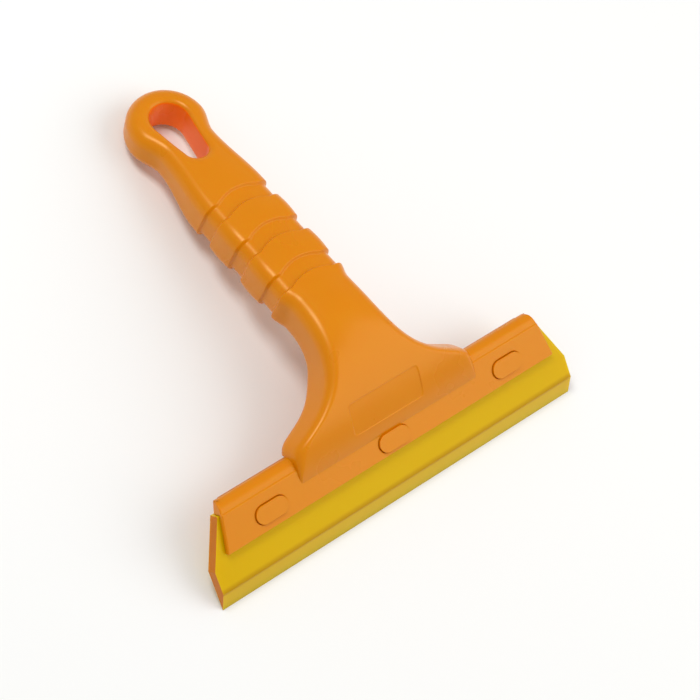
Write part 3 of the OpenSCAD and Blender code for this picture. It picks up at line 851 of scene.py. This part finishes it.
def outline_half_width(z, s, low_w):
    """Half width of the holder at height s: a leaning straight line, then an arc at the top corner."""
    r = z.holder_corner_r
    corner_s = z.cap_top - r
    corner_x = low_w / 2 - (corner_s - z.blade_reach) * math.tan(z.jaw_lean) - r / math.cos(z.jaw_lean)
    straight = low_w / 2 - (s - z.blade_reach) * math.tan(z.jaw_lean)
    round_off = corner_x + np.sqrt(np.maximum(r * r - (s - corner_s) ** 2, 0))
    return np.where(s > corner_s + r * math.sin(z.jaw_lean), round_off, straight)


def across_holder(z, name, profile, low_w):
    """A closed profile (s, n) carried across the holder, out to the leaning outline at each height."""
    w = outline_half_width(z, profile[:, 0], low_w)
    rows = np.stack([np.c_[w * k, profile] for k in (-1.0, 1.0)])
    shell = Shell()
    shell.grid(rows, wrap=True)
    shell.polygon(rows[0])
    shell.polygon(rows[1][::-1])
    return shell.piece(name, z)


def stud_prisms(z, name, grow, low, high):
    """Obround prisms at the three studs, grown all round, from one distance off the blade to another."""
    places = ((-z.stud_pitch, z.stud_s), (0.0, z.stud_s - z.centre_stud_drop), (z.stud_pitch, z.stud_s))
    l, w = z.stud_l + 2 * grow, z.stud_w + 2 * grow
    return [prism(z, f"{name}{i}", rounded_box(l, w, w / 2 - 0.001, x, s, 16), low, high)
            for i, (x, s) in enumerate(places)]


def cover_stations(z):
    """Places of the cover's rings along the grip: even, tight at the grooves' walls, and spaced as a
    quarter circle's (1 - cos) at its round ends. With them, the cover's half width at each, which is
    its end flat plus sqrt(radius^2 - past^2)."""
    radius = z.cover_w / 2 - z.cover_corner_flat
    mid = z.cover_mid - z.grip_start
    low_end, high_end = mid - z.cover_l / 2, mid + z.cover_l / 2
    y = clustered(low_end, high_end, [])
    for low in np.array(z.groove_lows) - z.grip_start:
        high = low + z.groove_w
        y = np.union1d(y, np.linspace(low, low + z.groove_ramp, 10))
        y = np.union1d(y, np.linspace(high - z.groove_ramp, high, 10))
    ends = low_end + radius * (1 - np.cos(np.linspace(0, np.pi / 2, 18)))
    y = apart(np.unique(np.round(np.concatenate([y, ends, 2 * mid - ends]), 4)), 0.012)
    past = np.clip(np.abs(y - mid) - (z.cover_l / 2 - radius), 0, radius)
    return y, z.cover_corner_flat + np.sqrt(np.maximum(radius ** 2 - past ** 2, 0))


def cover_rings(z):
    """Rings round the cover: x = k (w - r) + r cos and depth = r (1 - sin) less the grip's relief over its
    outer face and two rounded edges, then a flat inner face."""
    y, w = cover_stations(z)
    lift = relief(z, y + z.grip_start)
    r = COVER_EDGE_R
    turn = np.radians(np.linspace(0, 90, 6))
    across = np.linspace(1, -1, 17)[1:-1]
    corner, middle = np.ones(len(turn)), np.ones(len(across))
    k = np.concatenate([corner, across, -corner])
    cosine = np.concatenate([np.cos(turn), 0 * middle, -np.cos(turn[::-1])])
    sine = np.concatenate([np.sin(turn), middle, np.sin(turn[::-1])])
    inner = np.linspace(-1, 1, 5)
    x = np.concatenate([k * (w - r)[:, None] + r * cosine, inner * w[:, None]], 1)
    outer_depth = -z.grip_t - lift[:, None] + r * (1 - sine)
    inner_depth = np.full((len(y), len(inner)), z.cover_t - z.grip_t)
    depth = np.concatenate([outer_depth, inner_depth], 1)
    return in_handle(z)(np.stack([x, y[:, None] + 0 * x, depth], -1))


# ---------------------------------------------------------------- pieces

class SQUEEGEE_OT_handle(bpy.types.Operator):
    """Handle moulding: flare, neck, ringed grip and hanging eye, with the seat for its back cover"""
    bl_idname = "squeegee.handle"
    bl_label = "Handle"

    def execute(self, context):
        z = sizes()
        shell = Shell()
        rings = handle_rings(z)
        shell.grid(rings, wrap=True)
        shell.polygon(rings[0][::-1])
        eye_surfaces(z, shell)
        handle = shell.piece("handle_moulding", z)
        seat_r = z.cover_w / 2 - z.cover_corner_flat + z.cover_gap
        seat = rounded_box(z.cover_w + 2 * z.cover_gap, z.cover_l + 2 * z.cover_gap, seat_r,
                           0, z.cover_mid - z.grip_start)
        # The holder's cuts start below the flare and end behind it. The seat is cut from 2 mm behind the
        # grip to just deeper than the cover.
        below, behind, under_cover = -5, -40, 0.05
        combine(handle, [
            block(z, "slot", below, z.blade_top, behind, 0),
            block(z, "behind", below, z.cap_top + 2 * z.clamp_gap, behind, z.seam_n),
            prism(z, "seat", seat, -z.grip_t - 2, -z.grip_t + z.cover_t + under_cover, in_handle(z)),
        ], "DIFFERENCE")
        mark_hole_wall(z, handle)
        smooth(handle, 38)
        finish_piece(handle, "handle", "handle_body", moulded_polypropylene())
        return {"FINISHED"}


class SQUEEGEE_OT_front_jaw(bpy.types.Operator):
    """Front jaw, in one with the handle: a flat wall, half of the rounded cap and windows for the studs"""
    bl_idname = "squeegee.front_jaw"
    bl_label = "Front jaw"

    def execute(self, context):
        z = sizes()
        profile = np.concatenate([
            [(z.blade_reach, z.jaw_wall), (z.roll_s, z.jaw_wall)],
            cap_profile(z, 5, seam_turn(z, z.seam_n), z.crease),
            [(z.blade_top, z.seam_n), (z.blade_top, 0.0), (z.blade_reach, 0.0)],
        ])
        jaw = across_holder(z, "front_jaw", profile, z.jaw_w)
        combine(jaw, stud_prisms(z, "window", z.stud_gap, -1, z.jaw_wall + 2), "DIFFERENCE")
        soften(jaw, z.holder_edge_r, turn=42, limited=False)
        finish_piece(jaw, "handle", "handle_body", moulded_polypropylene())
        return {"FINISHED"}


class SQUEEGEE_OT_blade(bpy.types.Operator):
    """Blade: a cast sheet with a beveled wiping edge, leaning ends and three windows for the studs"""
    bl_idname = "squeegee.blade"
    bl_label = "Blade"

    def execute(self, context):
        z = sizes()
        w = z.blade_w / 2
        top = w - (z.blade_h - z.square_end_h) * math.tan(z.end_lean)
        outline = np.array([(-w, 0), (w, 0), (w, z.square_end_h),
                            (top, z.blade_h), (-top, z.blade_h), (-w, z.square_end_h)])
        back = np.c_[outline, np.full(len(outline), -z.blade_t)]
        front = np.c_[outline, np.zeros(len(outline))]
        front[:2, 1] = z.bevel_h
        shell = Shell()
        shell.grid(np.stack([back, front]), wrap=True)
        shell.polygon(back[::-1])
        shell.polygon(front)
        blade = shell.piece("blade", z)
        combine(blade, stud_prisms(z, "window", z.stud_gap, -z.blade_t - 1, 1), "DIFFERENCE")
        # The cut ends, which take a painted glow, are the faces that look mostly sideways.
        mark_faces(blade, "cut_end", np.abs(face_vectors(blade, "normal")[:, 0]) > 0.6)
        soften(blade, z.blade_edge_r, segments=2, turn=20)
        finish_piece(blade, "handle", "squeegee_blade", cast_polyurethane(z))
        return {"FINISHED"}


class SQUEEGEE_OT_clamp_bar(bpy.types.Operator):
    """Rear clamp bar: a flat wall, the rest of the cap and three hollow studs, which pass the blade"""
    bl_idname = "squeegee.clamp_bar"
    bl_label = "Rear clamp bar"

    def execute(self, context):
        z = sizes()
        seam = z.seam_n - z.clamp_gap
        profile = np.concatenate([
            [(z.blade_top, z.clamp_face_n), (z.blade_top, seam)],
            cap_profile(z, seam_turn(z, seam), 180, 0.0),
            [(z.blade_reach, z.clamp_back_n), (z.blade_reach, z.clamp_face_n)],
        ])
        bar = across_holder(z, "clamp_bar", profile, z.jaw_w - 2 * z.clamp_inset)
        face = z.jaw_wall + z.stud_proud
        combine(bar, stud_prisms(z, "stud", 0, z.clamp_face_n - 1, face), "UNION")
        combine(bar, stud_prisms(z, "core", -z.stud_wall, z.clamp_back_n - 1, face - z.stud_wall),
                "DIFFERENCE")
        soften(bar, z.holder_edge_r)
        finish_piece(bar, "clamp", "rear_clamp_bar", moulded_polypropylene())
        return {"FINISHED"}


class SQUEEGEE_OT_back_cover(bpy.types.Operator):
    """Back cover: a long plate with rounded ends that carries the grooves across the grip's back"""
    bl_idname = "squeegee.back_cover"
    bl_label = "Back cover"

    def execute(self, context):
        z = sizes()
        rings = cover_rings(z)
        shell = Shell()
        shell.grid(rings, wrap=True)
        shell.polygon(rings[0])
        shell.polygon(rings[-1][::-1])
        cover = shell.piece("back_cover", z)
        smooth(cover, 40)
        finish_piece(cover, "handle", "handle_back_cover", moulded_polypropylene())
        return {"FINISHED"}


class SQUEEGEE_OT_stage(bpy.types.Operator):
    """Stage: a plain pale floor, an even sky, a soft key and fill, and the camera"""
    bl_idname = "squeegee.stage"
    bl_label = "Stage"

    def execute(self, context):
        scene = context.scene
        st = scene.squeegee_stage
        self.lay_floor(scene, st.floor_half)
        self.light_sky(scene, st.sky)
        aim = Vector(st.camera_aim)
        self.add_light(scene, "key", Vector(st.key_place), aim, st.key_size, st.key_power)
        self.add_light(scene, "fill", Vector(st.fill_place), aim, st.fill_size, st.fill_power)
        self.add_camera(scene, st, aim)
        scene.view_settings.view_transform = "Standard"
        return {"FINISHED"}

    def lay_floor(self, scene, half):
        """A square floor at height 0."""
        mesh = bpy.data.meshes.new("floor")
        mesh.from_pydata([(-half, -half, 0), (half, -half, 0), (half, half, 0), (-half, half, 0)],
                         [], [(0, 1, 2, 3)])
        floor = bpy.data.objects.new("floor", mesh)
        scene.collection.objects.link(floor)
        mesh.materials.append(painted_floor())

    def light_sky(self, scene, strength):
        """An even white light from all round."""
        world = bpy.data.worlds.new("even_sky")
        scene.world = world
        world.use_nodes = True
        sky = world.node_tree.nodes["Background"]
        sky.inputs["Color"].default_value = (1.0, 1.0, 1.0, 1.0)
        sky.inputs["Strength"].default_value = strength

    def add_light(self, scene, name, stand, aim, size, power):
        """A square light that faces the aim."""
        light = bpy.data.lights.new(name, "AREA")
        light.size, light.energy, light.shape = size, power, "SQUARE"
        lamp = bpy.data.objects.new(name, light)
        lamp.location = stand
        lamp.rotation_euler = (aim - stand).to_track_quat("-Z", "Y").to_euler()
        scene.collection.objects.link(lamp)

    def add_camera(self, scene, st, aim):
        """The camera at its place, turned to the aim and then rolled about its line of sight."""
        data = bpy.data.cameras.new("camera")
        data.sensor_width, data.lens = st.sensor, st.lens
        data.clip_start, data.clip_end = 0.01, 20.0
        camera = bpy.data.objects.new("camera", data)
        stand = Vector(st.camera_place)
        look = (aim - stand).to_track_quat("-Z", "Y").to_matrix().to_4x4()
        camera.matrix_world = Matrix.Translation(stand) @ look @ Matrix.Rotation(st.camera_roll, 4, "Z")
        scene.collection.objects.link(camera)
        scene.camera = camera


class SQUEEGEE_PT_panel(bpy.types.Panel):
    """Lists the squeegee's sizes and pieces"""
    bl_idname = "SQUEEGEE_PT_panel"
    bl_label = "Squeegee"
    bl_space_type = "VIEW_3D"
    bl_region_type = "UI"
    bl_category = "Squeegee"

    def draw(self, context):
        for name in GROUPS:
            box = self.layout.box()
            group = getattr(context.scene, name)
            box.label(text=name.replace("_", " ").capitalize())
            for p in group.bl_rna.properties:
                if p.identifier not in ("rna_type", "name"):
                    box.prop(group, p.identifier)
        for operator in OPERATORS:
            self.layout.operator(operator.bl_idname)


OPERATORS = [SQUEEGEE_OT_handle, SQUEEGEE_OT_front_jaw, SQUEEGEE_OT_blade, SQUEEGEE_OT_clamp_bar,
             SQUEEGEE_OT_back_cover, SQUEEGEE_OT_stage]
CLASSES = [*GROUPS.values(), *OPERATORS, SQUEEGEE_PT_panel]


def register():
    """Registers the classes and hangs each group of sizes on the scene."""
    for cls in CLASSES:
        bpy.utils.register_class(cls)
    for name, group in GROUPS.items():
        setattr(bpy.types.Scene, name, PointerProperty(type=group))


def unregister():
    """Undoes register."""
    for name in GROUPS:
        delattr(bpy.types.Scene, name)
    for cls in reversed(CLASSES):
        bpy.utils.unregister_class(cls)


def main():
    """Builds the pieces and the stage."""
    register()
    bpy.ops.squeegee.handle()
    bpy.ops.squeegee.front_jaw()
    bpy.ops.squeegee.blade()
    bpy.ops.squeegee.clamp_bar()
    bpy.ops.squeegee.back_cover()
    bpy.ops.squeegee.stage()


if __name__ == "__main__":
    main()
